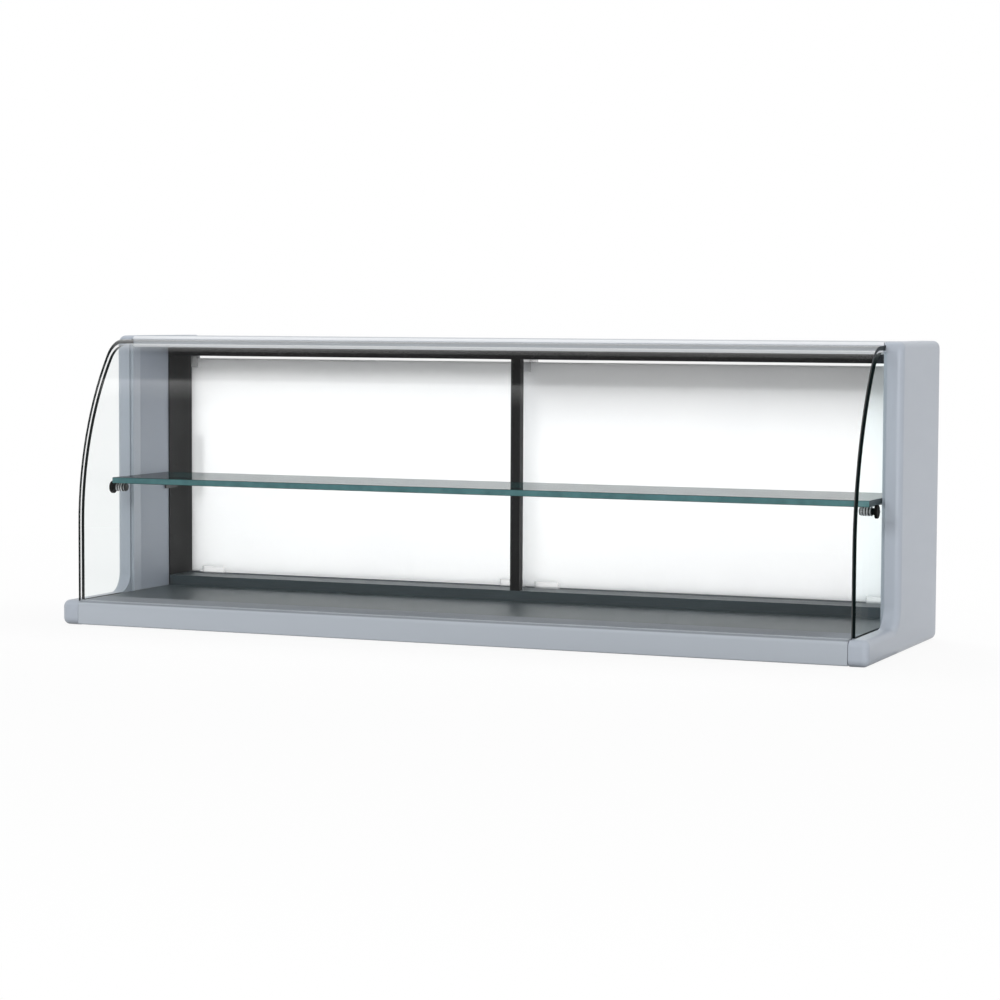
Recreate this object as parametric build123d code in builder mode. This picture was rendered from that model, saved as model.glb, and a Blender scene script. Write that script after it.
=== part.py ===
"""Curved-glass display case with one glass shelf and two sliding rear doors.

Sizes are millimetres. X runs left to right as the customer sees the case, the
front faces -Y and +Z is up. The origin is the middle of the footprint, on the
surface that the case stands on.
"""

from build123d import *
from math import cos, radians, sin
import os

os.makedirs("parts", exist_ok=True)

# Overall size
case_width = 1280.0
case_depth = 390.0
case_height = 445.0

# End caps, L-shaped from the side: a rear column over a low arm
cap_thickness = 29.0
cap_wall = 4.0
cap_arm_height = 38.0
cap_inside_radius = 30.0
cap_tip_radius = 10.5
cap_rear_radius = 12.0
cap_top_radius = 14.0
cap_edge_radius = 9.5
cap_inner_edge_radius = 1.0
cap_rear_band = 10.0
cap_top_band = 9.0
cap_pocket_end = 12.0
cap_rib = 3.0
cap_rib_columns = 2
panel_rim = 8.0
panel_fit = 0.3
boss_radius = 6.0

# Base
side_gap = 0.5
ledge_depth = 80.0
ledge_wall = 3.0
ledge_floor_gap = 1.5
ledge_nose_radius = 8.0
ledge_heel_radius = 2.0
sheet = 2.0
deck_flange = 16.0
deck_gap = 0.3
deck_inset = 8.0
flange_gap = 2.0
cross_member_count = 4
cross_member_width = 30.0
cross_member_end = 4.0

# Curved front glass and flat side glasses
glass_thickness = 6.0
front_glass_setback = 7.0
front_glass_overhang = 2.7
glass_drop = 5.0
wide_bend_radius = 433.0
wide_bend_angle = 37.0
crown_radius = 60.0
top_flat = 25.9
seal_wall = 1.0
seal_floor = 1.5
seal_lip = 0.4
groove_depth = 8.0
end_play = 0.3
side_glass_thickness = 5.0
side_glass_setback = 13.0
side_glass_drop = 9.0
side_glass_entry = 3.0

# Top
top_drop = 1.0
nose_height = 17.0
nose_depth = 25.0
nose_radius = 8.0
nose_wall = 2.0
slot_depth = 9.5
stiffener_width = 30.0
stiffener_foot = 12.0
stiffener_end = 20.0
top_rear_inset = 5.0

# Dark rear frame with the door tracks
frame_rear_inset = 29.0
rail_height = 15.0
rail_depth = 47.8
sill_height = 16.0
jamb_sheet = 2.0
jamb_rear_inset = 8.0
frame_fit = 0.2
post_width = 15.5
post_depth = 14.0
post_wall = 2.0
strip_width = 2.5
strip_depth = 1.2

# Sliding doors
door_thickness = 5.0
door_pitch = 13.0
door_overlap = 16.0
door_side_gap = 4.0
door_stop_gap = 0.4
door_top_gap = 5.0
door_bottom_gap = 2.0
track_wall = 4.5
track_base = 3.0
groove_play = 1.5
guide_clearance = 0.8
upper_groove_depth = 10.0
lower_groove_depth = 5.0
glide_length = 40.0
glide_inset = 20.0
glide_notch = 8.0
glide_lift = 0.3
guide_width = 12.0
guide_cheek = 2.0
guide_drop = 15.0
guide_entry = 4.5
pull_width = 12.0
pull_height = 100.0
pull_depth = 5.0
pull_inset = 9.0
pull_plate = 2.0

# Glass shelf and what carries it
shelf_thickness = 9.5
shelf_top = 223.0
shelf_setback = 104.0
shelf_rear_gap = 3.0
shelf_side_gap = 0.5
shelf_edge = 0.8
seat_gap = 0.1
pin_setback = 15.0
pin_length = 16.5
pin_radius = 6.5
pin_groove_depth = 1.6
pin_groove_width = 1.8
pin_groove_count = 3
pin_stud_radius = 4.0
pin_stud_entry = 1.2
pin_hole_clearance = 1.0
pin_cap_radius = 9.8
pin_cap_thickness = 4.0
pin_cap_edge = 1.2
pin_tip_radius = 5.5
pin_tip_thickness = 1.5
bracket_reach = 15.0
bracket_leg = 12.0
bracket_drop = 17.0
bracket_length = 37.0
stud_reach = 14.0
stud_radius = 4.0
stud_shank_radius = 3.0
stud_shank_length = 6.0

# Screws
screw_radius = 2.0
screw_fit = 0.15
screw_length = 12.0
pan_head_radius = 4.0
pan_head_height = 2.5
flat_head_depth = 1.6
jamb_screw_inset = 20.0
jamb_screw_count = 3
base_screw_count = 4
ledge_screw_count = 5
top_screw_count = 5

# Base and end places
half_width = case_width / 2
inner_x = half_width - cap_thickness
span_x = inner_x - side_gap
front_y = -case_depth / 2
rear_y = case_depth / 2
deck_z = cap_arm_height
ledge_rear_y = front_y + ledge_depth
deck_y = ledge_rear_y + deck_gap
deck_rear_y = rear_y - deck_inset
pan_flange_z = deck_z - deck_flange - flange_gap
base_screw_z = (pan_flange_z + sheet) / 2

# Front glass curve: upright foot, wide bend, tight crown, flat top
bend_sine = sin(radians(wide_bend_angle))
bend_cosine = cos(radians(wide_bend_angle))
bend_run = wide_bend_radius * (1 - bend_cosine) + crown_radius * bend_cosine
glass_y = front_y + front_glass_setback
glass_half = inner_x + front_glass_overhang
column_y = glass_y + bend_run + top_flat
top_z = case_height - top_drop
glass_top_z = top_z - glass_drop
bend_rise = wide_bend_radius * bend_sine + crown_radius * (1 - bend_sine)
bend_z = glass_top_z - bend_rise
groove_z = deck_z - groove_depth
glass_foot_z = groove_z + seal_floor
slot_end_y = column_y + slot_depth
glass_end_y = slot_end_y - seal_wall - end_play
slot_base_z = glass_top_z - glass_thickness - seal_wall
slot_roof_z = glass_top_z + seal_wall

# Side glasses stand behind the front glass, flush with the caps' inner sides
side_outer_x = inner_x + side_glass_thickness
side_top_z = glass_top_z - side_glass_drop
side_rear_y = column_y + side_glass_entry
side_front_y = glass_y + side_glass_setback
corner_y = column_y - cap_inside_radius

# Top and rear frame places
nose_z = top_z - nose_height
nose_rear_y = column_y + nose_depth
top_rear_y = rear_y - top_rear_inset
jamb_x = inner_x - jamb_sheet
frame_x = jamb_x - frame_fit
sill_z = deck_z + sill_height
rail_z = nose_z - rail_height
groove_width = door_thickness + 2 * groove_play
track_depth = 2 * track_wall + groove_width + door_pitch
track_y = rear_y - frame_rear_inset - track_depth
frame_y = track_y - frame_fit - rail_depth
jamb_rear_y = rear_y - jamb_rear_inset

# Door places: the right door runs in the front groove, the left one behind it
right_door_y = track_y + track_wall + groove_play
left_door_y = right_door_y + door_pitch
door_outer_x = jamb_x - door_side_gap
door_top_z = rail_z - door_top_gap
door_base_z = sill_z + door_bottom_gap
door_mid_z = (door_top_z + door_base_z) / 2
door_travel = jamb_x - door_stop_gap - door_overlap / 2
guide_thickness = groove_width - 2 * guide_clearance

# Shelf places
shelf_base = shelf_top - shelf_thickness
seat_z = shelf_base - seat_gap
shelf_y = front_y + shelf_setback
shelf_rear_y = frame_y - shelf_rear_gap
shelf_half = inner_x - shelf_side_gap
pin_y = shelf_y + pin_setback
pin_z = seat_z - pin_radius
bracket_y = frame_y - bracket_reach
bracket_z = seat_z - bracket_drop
bracket_screw_y = frame_y + (bracket_length - bracket_reach) / 2
bracket_screw_z = seat_z - (bracket_drop + sheet) / 2
stud_z = seat_z - stud_radius

# Screw places
hole_radius = screw_radius + screw_fit
flat_head_radius = screw_radius + flat_head_depth
jamb_screw_y = frame_y + jamb_screw_inset
top_screw_z = (nose_z + top_z) / 2


def block(x_range, y_range, z_range, mode=Mode.ADD):
    """A box between three pairs of limits, in the open part."""
    x0, x1 = sorted(x_range)
    y0, y1 = y_range
    z0, z1 = z_range
    with Locations(((x0 + x1) / 2, (y0 + y1) / 2, (z0 + z1) / 2)):
        Box(x1 - x0, y1 - y0, z1 - z0, mode=mode)


def area(y_range, z_range, mode=Mode.ADD):
    """A rectangle between two pairs of limits, in the open side sketch."""
    y0, y1 = y_range
    z0, z1 = z_range
    with Locations(((y0 + y1) / 2, (z0 + z1) / 2)):
        Rectangle(y1 - y0, z1 - z0, mode=mode)


def rod(start, direction, length, radius, mode=Mode.ADD):
    """A round bar or bore from a point along a direction, in the open part."""
    with Locations(Plane(origin=start, z_dir=direction)):
        Cylinder(radius, length, align=(Align.CENTER, Align.CENTER, Align.MIN), mode=mode)


def flat_head(start, direction, radius, mode=Mode.ADD):
    """A countersunk head or its seat, narrowing at 45 degrees, in the open part."""
    with Locations(Plane(origin=start, z_dir=direction)):
        Cone(
            radius,
            radius - flat_head_depth,
            flat_head_depth,
            align=(Align.CENTER, Align.CENTER, Align.MIN),
            mode=mode,
        )


def pan_screw(seat, direction):
    """A screw whose head lies on the seat and whose shank runs on, in the open part."""
    back = tuple(-value for value in direction)
    rod(seat, direction, screw_length, screw_radius)
    rod(seat, back, pan_head_height, pan_head_radius)


def spread(low, high, count):
    """Evenly spaced places, each in the middle of its share of the range."""
    step = (high - low) / count
    return [low + step * (index + 0.5) for index in range(count)]


def glass_curve(inset, top, foot, end):
    """The front glass's outer line moved inwards, drawn in the open line."""
    foot_y = glass_y + inset
    Line((foot_y, foot), (foot_y, bend_z))
    wide = CenterArc((glass_y + wide_bend_radius, bend_z), wide_bend_radius - inset, 180, -wide_bend_angle)
    turn = wide @ 1
    radius = (top - turn.Y) / (1 - bend_sine)
    centre = (turn.X + radius * bend_cosine, turn.Y - radius * bend_sine)
    crown = CenterArc(centre, radius, 180 - wide_bend_angle, wide_bend_angle - 90)
    Line(crown @ 1, (end, top))


base_screw_ys = spread(ledge_rear_y + cross_member_width, deck_rear_y, base_screw_count)
ledge_screw_xs = spread(-span_x, span_x, ledge_screw_count)
jamb_screw_zs = spread(sill_z, rail_z, jamb_screw_count)
top_screw_xs = spread(-span_x, span_x, top_screw_count)

# End caps with their panels, glasses, seals and fittings, one side at a time
for side, sign in (("left", -1), ("right", 1)):
    outward = (sign, 0, 0)
    inward = (-sign, 0, 0)
    rebate_x = inner_x + sheet
    pocket_x = half_width - cap_wall
    rebate_y = (nose_rear_y, rear_y - cap_rear_band)
    rebate_z = (deck_z, case_height - cap_top_band)
    pocket_y = (rebate_y[0] + panel_rim, rebate_y[1] - panel_rim)
    pocket_z = (rebate_z[0] + panel_rim, rebate_z[1] - panel_rim)
    arm_pocket_y = (front_y + cap_pocket_end, rear_y - cap_pocket_end)
    arm_pocket_z = (cap_wall, groove_z - cap_wall)
    jamb_bores = [(jamb_screw_y, z) for z in jamb_screw_zs]
    bracket_bore = (bracket_screw_y, bracket_screw_z)
    base_bores = [(y, base_screw_z) for y in base_screw_ys]
    seal_x = (sign * (inner_x - seal_lip), sign * (side_outer_x + seal_wall))
    channel_y = (side_front_y - seal_wall, corner_y)
    rebate_end = (sign * inner_x, sign * (side_outer_x + end_play))

    # End cap
    with BuildPart() as end_cap:
        with BuildSketch(Plane.YZ.offset(sign * inner_x)):
            with BuildLine():
                FilletPolyline(
                    (front_y, 0),
                    (rear_y, 0),
                    (rear_y, case_height),
                    (column_y, case_height),
                    (column_y, cap_arm_height),
                    (front_y, cap_arm_height),
                    radius=[
                        cap_tip_radius,
                        cap_rear_radius,
                        cap_rear_radius,
                        cap_top_radius,
                        cap_inside_radius,
                        cap_tip_radius,
                    ],
                    close=True,
                )
            make_face()
        extrude(amount=sign * cap_thickness)
        outer_face = end_cap.faces().sort_by(Axis((0, 0, 0), outward))[-1]
        fillet(outer_face.edges(), radius=cap_edge_radius)
        inner_face = end_cap.faces().sort_by(Axis((0, 0, 0), outward))[0]
        fillet(inner_face.edges(), radius=cap_inner_edge_radius)
        block((sign * inner_x, sign * rebate_x), rebate_y, rebate_z, Mode.SUBTRACT)
        block((sign * rebate_x, sign * pocket_x), pocket_y, pocket_z, Mode.SUBTRACT)
        for y in spread(*pocket_y, cap_rib_columns):
            rib = (y - cap_rib / 2, y + cap_rib / 2)
            block((sign * rebate_x, sign * pocket_x), rib, pocket_z)
        for z in jamb_screw_zs:
            rib = (z - cap_rib / 2, z + cap_rib / 2)
            block((sign * rebate_x, sign * pocket_x), pocket_y, rib)
        block((sign * inner_x, sign * pocket_x), arm_pocket_y, arm_pocket_z, Mode.SUBTRACT)
        for y, z in jamb_bores + [bracket_bore]:
            rod((sign * rebate_x, y, z), outward, pocket_x - rebate_x, boss_radius)
            rod((sign * rebate_x, y, z), outward, screw_length, hole_radius, Mode.SUBTRACT)
        for y, z in base_bores:
            rod((sign * inner_x, y, z), outward, pocket_x - inner_x, boss_radius)
            rod((sign * inner_x, y, z), outward, screw_length, hole_radius, Mode.SUBTRACT)
        block(seal_x, channel_y, (groove_z, side_top_z), Mode.SUBTRACT)
        block(rebate_end, (corner_y, side_rear_y + end_play), (groove_z, side_top_z + end_play), Mode.SUBTRACT)
        foot_notch_x = (sign * inner_x, sign * (glass_half + end_play))
        foot_notch_y = (glass_y - seal_wall, glass_y + glass_thickness + seal_wall)
        block(foot_notch_x, foot_notch_y, (groove_z, case_height), Mode.SUBTRACT)
        block(foot_notch_x, (corner_y, slot_end_y), (slot_base_z, slot_roof_z), Mode.SUBTRACT)
    end_cap.part.label = f"end_cap_{side}"
    export_step(end_cap.part, f"parts/end_cap_{side}.step")

    # End panel, flush in the cap's rebate
    with BuildPart() as end_panel:
        panel_y = (rebate_y[0] + panel_fit, rebate_y[1] - panel_fit)
        panel_z = (rebate_z[0] + panel_fit, rebate_z[1] - panel_fit)
        block((sign * inner_x, sign * rebate_x), panel_y, panel_z)
        for y, z in jamb_bores + [bracket_bore]:
            rod((sign * inner_x, y, z), outward, sheet, hole_radius, Mode.SUBTRACT)
    end_panel.part.label = f"end_panel_{side}"
    export_step(end_panel.part, f"parts/end_panel_{side}.step")

    # Side glass, with its hole for the shelf pin
    with BuildPart() as side_glass:
        with BuildSketch(Plane.YZ.offset(sign * inner_x)):
            with BuildLine():
                glass_curve(side_glass_setback, side_top_z, glass_foot_z, side_rear_y)
                Polyline(
                    (side_rear_y, side_top_z),
                    (side_rear_y, glass_foot_z),
                    (side_front_y, glass_foot_z),
                )
            make_face()
            with Locations((pin_y, pin_z)):
                Circle(pin_stud_radius + pin_hole_clearance, mode=Mode.SUBTRACT)
        extrude(amount=sign * side_glass_thickness)
    side_glass.part.label = f"side_glass_{side}"
    export_step(side_glass.part, f"parts/side_glass_{side}.step")

    # Seal under the side glass, flush with the arm, with a thin lip on the inner side
    with BuildPart() as side_gasket:
        block(seal_x, channel_y, (groove_z, deck_z))
        add(side_glass.part, mode=Mode.SUBTRACT)
    side_gasket.part.label = f"side_glass_gasket_{side}"
    export_step(side_gasket.part, f"parts/side_glass_gasket_{side}.step")

    # Shelf pin: ringed barrel inside the glass, stud through it
    with BuildPart() as shelf_pin:
        rod((sign * inner_x, pin_y, pin_z), inward, pin_length, pin_radius)
        ring_face = shelf_pin.faces().sort_by(Axis((0, 0, 0), inward))[-1]
        fillet(ring_face.edges(), radius=seal_wall)
        for reach in spread(0, pin_length, pin_groove_count):
            ring_x = inner_x - reach
            with BuildSketch(Plane(origin=(sign * ring_x, pin_y, pin_z), z_dir=inward)):
                Circle(pin_radius + seal_wall)
                Circle(pin_radius - pin_groove_depth, mode=Mode.SUBTRACT)
            extrude(amount=pin_groove_width / 2, both=True, mode=Mode.SUBTRACT)
        stud_length = side_glass_thickness + pin_stud_entry
        rod((sign * inner_x, pin_y, pin_z), outward, stud_length, pin_stud_radius)
    shelf_pin.part.label = f"shelf_pin_{side}"
    export_step(shelf_pin.part, f"parts/shelf_pin_{side}.step")

    # Black pad on the pin's inner end
    with BuildPart() as pin_tip:
        rod((sign * (inner_x - pin_length), pin_y, pin_z), inward, pin_tip_thickness, pin_tip_radius)
    pin_tip.part.label = f"shelf_pin_tip_{side}"
    export_step(pin_tip.part, f"parts/shelf_pin_tip_{side}.step")

    # Black cap on the outside of the glass
    with BuildPart() as pin_cap:
        rod((sign * side_outer_x, pin_y, pin_z), outward, pin_cap_thickness, pin_cap_radius)
        cap_face = pin_cap.faces().sort_by(Axis((0, 0, 0), outward))[-1]
        fillet(cap_face.edges(), radius=pin_cap_edge)
        bore = pin_stud_radius + screw_fit
        rod((sign * side_outer_x, pin_y, pin_z), outward, pin_stud_entry + seat_gap, bore, Mode.SUBTRACT)
    pin_cap.part.label = f"shelf_pin_cap_{side}"
    export_step(pin_cap.part, f"parts/shelf_pin_cap_{side}.step")

    # Jamb lining
    with BuildPart() as jamb:
        block((sign * jamb_x, sign * inner_x), (frame_y, jamb_rear_y), (deck_z, nose_z))
        for y, z in jamb_bores:
            head = flat_head_radius + screw_fit
            rod((sign * jamb_x, y, z), outward, jamb_sheet, hole_radius, Mode.SUBTRACT)
            flat_head((sign * jamb_x, y, z), outward, head, Mode.SUBTRACT)
        rod((sign * jamb_x, *bracket_bore), outward, jamb_sheet, hole_radius, Mode.SUBTRACT)
    jamb.part.label = f"jamb_{side}"
    export_step(jamb.part, f"parts/jamb_{side}.step")

    # Angle that carries the shelf's rear corner
    with BuildPart() as bracket:
        bracket_y_range = (bracket_y, bracket_y + bracket_length)
        leg_x = (sign * (jamb_x - sheet), sign * jamb_x)
        block(leg_x, bracket_y_range, (bracket_z, seat_z))
        block((sign * (jamb_x - bracket_leg), sign * jamb_x), bracket_y_range, (seat_z - sheet, seat_z))
        rod((leg_x[0], *bracket_bore), outward, sheet, hole_radius, Mode.SUBTRACT)
    bracket.part.label = f"shelf_bracket_{side}"
    export_step(bracket.part, f"parts/shelf_bracket_{side}.step")

# Front ledge, a hollow extrusion with the front glass's groove
with BuildPart() as front_ledge:
    with BuildSketch(Plane.YZ.offset(-span_x)) as ledge_section:
        area((front_y, ledge_rear_y), (ledge_floor_gap, deck_z))
        front_top = ledge_section.vertices().group_by(Axis.X)[0].sort_by(Axis.Y)[-1]
        fillet(front_top, radius=ledge_nose_radius)
        heel = ledge_section.vertices().group_by(Axis.Y)[0]
        fillet(heel, radius=ledge_heel_radius)
        groove_y = (glass_y - seal_wall, glass_y + glass_thickness + seal_wall)
        web_y = groove_y[1] + ledge_wall
        mid_y = (web_y + ledge_rear_y) / 2
        cell_z = (ledge_floor_gap + ledge_wall, deck_z - ledge_wall)
        area((web_y, mid_y - ledge_wall / 2), cell_z, Mode.SUBTRACT)
        area((mid_y + ledge_wall / 2, ledge_rear_y - ledge_wall), cell_z, Mode.SUBTRACT)
        area((front_y + ledge_wall, web_y - ledge_wall), (cell_z[0], groove_z - ledge_wall), Mode.SUBTRACT)
        area(groove_y, (groove_z, deck_z), Mode.SUBTRACT)
    extrude(amount=2 * span_x)
    for x in ledge_screw_xs:
        rod((x, ledge_rear_y, base_screw_z), (0, -1, 0), ledge_wall, hole_radius, Mode.SUBTRACT)
front_ledge.part.label = "front_ledge"
export_step(front_ledge.part, "parts/front_ledge.step")

# Seal in the ledge's groove
with BuildPart() as front_gasket:
    with BuildSketch(Plane.YZ.offset(-span_x)):
        area(groove_y, (groove_z, deck_z))
        area((glass_y, glass_y + glass_thickness), (glass_foot_z, deck_z), Mode.SUBTRACT)
    extrude(amount=2 * span_x)
front_gasket.part.label = "front_glass_gasket"
export_step(front_gasket.part, "parts/front_glass_gasket.step")

# Front glass
with BuildPart() as front_glass:
    with BuildSketch(Plane.YZ.offset(-glass_half)):
        with BuildLine():
            glass_curve(0, glass_top_z, glass_foot_z, glass_end_y)
            glass_curve(glass_thickness, glass_top_z - glass_thickness, glass_foot_z, glass_end_y)
            Line((glass_y, glass_foot_z), (glass_y + glass_thickness, glass_foot_z))
            Line((glass_end_y, glass_top_z), (glass_end_y, glass_top_z - glass_thickness))
        make_face()
    extrude(amount=2 * glass_half)
front_glass.part.label = "front_glass"
export_step(front_glass.part, "parts/front_glass.step")

# Deck panel with turned-down front and rear edges
with BuildPart() as deck_panel:
    with BuildSketch(Plane.YZ.offset(-span_x)):
        area((deck_y, deck_rear_y), (deck_z - deck_flange, deck_z))
        area((deck_y + sheet, deck_rear_y - sheet), (deck_z - deck_flange, deck_z - sheet), Mode.SUBTRACT)
    extrude(amount=2 * span_x)
deck_panel.part.label = "deck_panel"
export_step(deck_panel.part, "parts/deck_panel.step")

# Base pan with turned-up edges
with BuildPart() as base_pan:
    block((-span_x, span_x), (ledge_rear_y, deck_rear_y), (0, pan_flange_z))
    block(
        (-span_x + sheet, span_x - sheet),
        (ledge_rear_y + sheet, deck_rear_y - sheet),
        (sheet, pan_flange_z),
        Mode.SUBTRACT,
    )
    for x in ledge_screw_xs:
        rod((x, ledge_rear_y, base_screw_z), (0, 1, 0), sheet, hole_radius, Mode.SUBTRACT)
    for y in base_screw_ys:
        for sign in (-1, 1):
            rod((sign * span_x, y, base_screw_z), (-sign, 0, 0), sheet, hole_radius, Mode.SUBTRACT)
base_pan.part.label = "base_pan"
export_step(base_pan.part, "parts/base_pan.step")

# Cross members between the pan and the deck
for number, x in enumerate(spread(-span_x, span_x, cross_member_count), start=1):
    with BuildPart() as cross_member:
        member_x = (x - cross_member_width / 2, x + cross_member_width / 2)
        member_y = (deck_y + sheet + cross_member_end, deck_rear_y - sheet - cross_member_end)
        block(member_x, member_y, (sheet, deck_z - sheet))
        hollow_z = (2 * sheet, deck_z - 2 * sheet)
        block((member_x[0] + sheet, member_x[1]), member_y, hollow_z, Mode.SUBTRACT)
    cross_member.part.label = f"cross_member_{number}"
    export_step(cross_member.part, f"parts/cross_member_{number}.step")

# Top nose, a hollow extrusion with the slot for the glass's top edge
with BuildPart() as top_nose:
    with BuildSketch(Plane.YZ.offset(-span_x)) as nose_section:
        area((column_y, nose_rear_y), (nose_z, top_z))
        fillet(nose_section.vertices().group_by(Axis.X)[0], radius=nose_radius)
        slot_z = (slot_base_z, slot_roof_z)
        area((column_y, slot_end_y), slot_z, Mode.SUBTRACT)
        hollow_y = (slot_end_y + nose_wall, nose_rear_y - nose_wall)
        area(hollow_y, (nose_z + nose_wall, top_z - nose_wall), Mode.SUBTRACT)
    extrude(amount=2 * span_x)
top_nose.part.label = "top_nose"
export_step(top_nose.part, "parts/top_nose.step")

# Seal in the nose's slot
with BuildPart() as top_gasket:
    with BuildSketch(Plane.YZ.offset(-span_x)):
        area((column_y + seal_wall, slot_end_y), (slot_base_z, slot_roof_z))
        glass_zone_y = (column_y, slot_end_y - seal_wall)
        area(glass_zone_y, (glass_top_z - glass_thickness, glass_top_z), Mode.SUBTRACT)
    extrude(amount=2 * span_x)
top_gasket.part.label = "top_glass_gasket"
export_step(top_gasket.part, "parts/top_glass_gasket.step")

# Top panel with turned-down edges
with BuildPart() as top_panel:
    with BuildSketch(Plane.YZ.offset(-span_x)):
        area((nose_rear_y, top_rear_y), (nose_z + 2 * sheet, top_z))
        area((nose_rear_y + sheet, top_rear_y - sheet), (nose_z, top_z - sheet), Mode.SUBTRACT)
    extrude(amount=2 * span_x)
    for x in top_screw_xs:
        rod((x, top_rear_y, top_screw_z), (0, -1, 0), sheet, hole_radius, Mode.SUBTRACT)
top_panel.part.label = "top_panel"
export_step(top_panel.part, "parts/top_panel.step")

# Underside of the top, with a turned-up rear edge
with BuildPart() as top_underside:
    underside_rear_y = top_rear_y - sheet
    with BuildSketch(Plane.YZ.offset(-span_x)):
        area((nose_rear_y, underside_rear_y), (nose_z, nose_z + sheet))
        area((underside_rear_y - sheet, underside_rear_y), (nose_z, top_z - 2 * sheet))
    extrude(amount=2 * span_x)
    for x in top_screw_xs:
        rod((x, underside_rear_y, top_screw_z), (0, -1, 0), sheet, hole_radius, Mode.SUBTRACT)
top_underside.part.label = "top_underside"
export_step(top_underside.part, "parts/top_underside.step")

# Hat-section stiffener inside the top
with BuildPart() as top_stiffener:
    middle_y = (nose_rear_y + top_rear_y) / 2
    hat_y = (middle_y - stiffener_width / 2, middle_y + stiffener_width / 2)
    hat_z = (nose_z + sheet, top_z - sheet)
    with BuildSketch(Plane.YZ.offset(-span_x + stiffener_end)):
        area(hat_y, hat_z)
        area((hat_y[0] + sheet, hat_y[1] - sheet), (hat_z[0], hat_z[1] - sheet), Mode.SUBTRACT)
        area((hat_y[0] - stiffener_foot, hat_y[0]), (hat_z[0], hat_z[0] + sheet))
        area((hat_y[1], hat_y[1] + stiffener_foot), (hat_z[0], hat_z[0] + sheet))
    extrude(amount=2 * (span_x - stiffener_end))
top_stiffener.part.label = "top_stiffener"
export_step(top_stiffener.part, "parts/top_stiffener.step")

# Head rail and sill of the rear frame, both box sections
for name, low, high in (("head_rail", rail_z, nose_z), ("rear_sill", deck_z, sill_z)):
    with BuildPart() as member:
        rail_y = (frame_y, frame_y + rail_depth)
        with BuildSketch(Plane.YZ.offset(-frame_x)):
            area(rail_y, (low, high))
            area((rail_y[0] + sheet, rail_y[1] - sheet), (low + sheet, high - sheet), Mode.SUBTRACT)
        extrude(amount=2 * frame_x)
    member.part.label = name
    export_step(member.part, f"parts/{name}.step")

# Door tracks, each with two grooves
groove_ys = [(y - groove_play, y + door_thickness + groove_play) for y in (right_door_y, left_door_y)]
track_y_range = (track_y, track_y + track_depth)
with BuildPart() as upper_track:
    with BuildSketch(Plane.YZ.offset(-frame_x)):
        area(track_y_range, (rail_z, nose_z))
        for groove_y_range in groove_ys:
            area(groove_y_range, (rail_z, rail_z + upper_groove_depth), Mode.SUBTRACT)
    extrude(amount=2 * frame_x)
upper_track.part.label = "upper_track"
export_step(upper_track.part, "parts/upper_track.step")

with BuildPart() as lower_track:
    lower_groove_z = sill_z - lower_groove_depth
    with BuildSketch(Plane.YZ.offset(-frame_x)):
        area(track_y_range, (deck_z, sill_z))
        for groove_y_range in groove_ys:
            area(groove_y_range, (lower_groove_z, sill_z), Mode.SUBTRACT)
        cavity_y = (track_y_range[0] + track_wall, track_y_range[1] - track_wall)
        area(cavity_y, (deck_z, lower_groove_z - track_base), Mode.SUBTRACT)
    extrude(amount=2 * frame_x)
lower_track.part.label = "lower_track"
export_step(lower_track.part, "parts/lower_track.step")

# Centre post, a square tube with a rebate along its front left corner
with BuildPart() as centre_post:
    post_half = post_width / 2
    post_z = (sill_z, rail_z)
    strip_x = (-post_half, -post_half + strip_width)
    block((-post_half, post_half), (frame_y, frame_y + post_depth), post_z)
    tube_y = (frame_y + post_wall, frame_y + post_depth - post_wall)
    block((-post_half + post_wall, post_half - post_wall), tube_y, post_z, Mode.SUBTRACT)
    block(strip_x, (frame_y, frame_y + strip_depth), post_z, Mode.SUBTRACT)
    stud_bore = stud_shank_radius + screw_fit
    rod((0, frame_y, stud_z), (0, 1, 0), post_wall, stud_bore, Mode.SUBTRACT)
centre_post.part.label = "centre_post"
export_step(centre_post.part, "parts/centre_post.step")

with BuildPart() as post_strip:
    block(strip_x, (frame_y, frame_y + strip_depth), post_z)
post_strip.part.label = "post_strip"
export_step(post_strip.part, "parts/post_strip.step")

# Stud on the post that carries the middle of the shelf's rear edge
with BuildPart() as shelf_stud:
    rod((0, frame_y, stud_z), (0, -1, 0), stud_reach, stud_radius)
    stud_face = shelf_stud.faces().sort_by(Axis.Y)[0]
    fillet(stud_face.edges(), radius=seal_wall)
    rod((0, frame_y, stud_z), (0, 1, 0), stud_shank_length, stud_shank_radius)
shelf_stud.part.label = "shelf_stud"
export_step(shelf_stud.part, "parts/shelf_stud.step")

# Glass shelf with polished edges
with BuildPart() as shelf_glass:
    block((-shelf_half, shelf_half), (shelf_y, shelf_rear_y), (shelf_base, shelf_top))
    chamfer(shelf_glass.edges().filter_by(Axis.X), length=shelf_edge)
shelf_glass.part.label = "shelf_glass"
export_step(shelf_glass.part, "parts/shelf_glass.step")

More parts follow.
